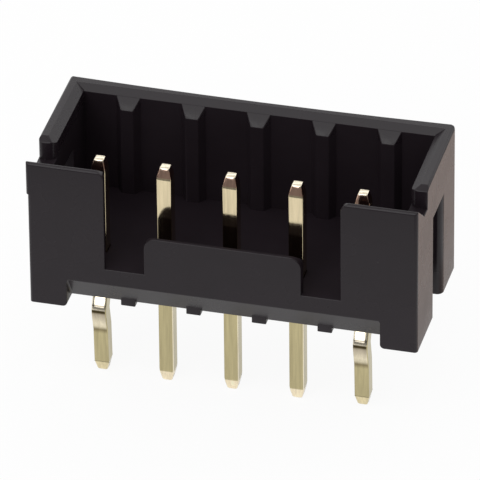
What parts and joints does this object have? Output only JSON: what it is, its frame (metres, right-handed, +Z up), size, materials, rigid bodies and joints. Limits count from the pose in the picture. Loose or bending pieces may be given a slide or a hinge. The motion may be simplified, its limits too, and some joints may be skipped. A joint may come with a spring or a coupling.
{
  "type": "shrouded pin header",
  "caption": "Straight through-hole board header: a row of square pins inside an open-fronted moulded shroud with keying ribs, end slots, notched ends and short feet.",
  "frame": {"origin": "middle of the pin row, on the surface of the circuit board that the feet stand on", "axes": "+X along the row from the first pin to the last, +Y from the open front to the tall back wall, +Z up out of the mouth"},
  "size_m": [0.0148, 0.0062, 0.0098],
  "materials": {
    "housing": "black moulded thermoplastic with a fine satin spark texture",
    "pins": "drawn brass wire with a thin bright pale plating"
  },
  "bodies": {
    "root": {"housing": "housing", "pin_1": "pins", "pin_2": "pins", "pin_3": "pins", "pin_4": "pins", "pin_5": "pins"}
  },
  "joints": []
}
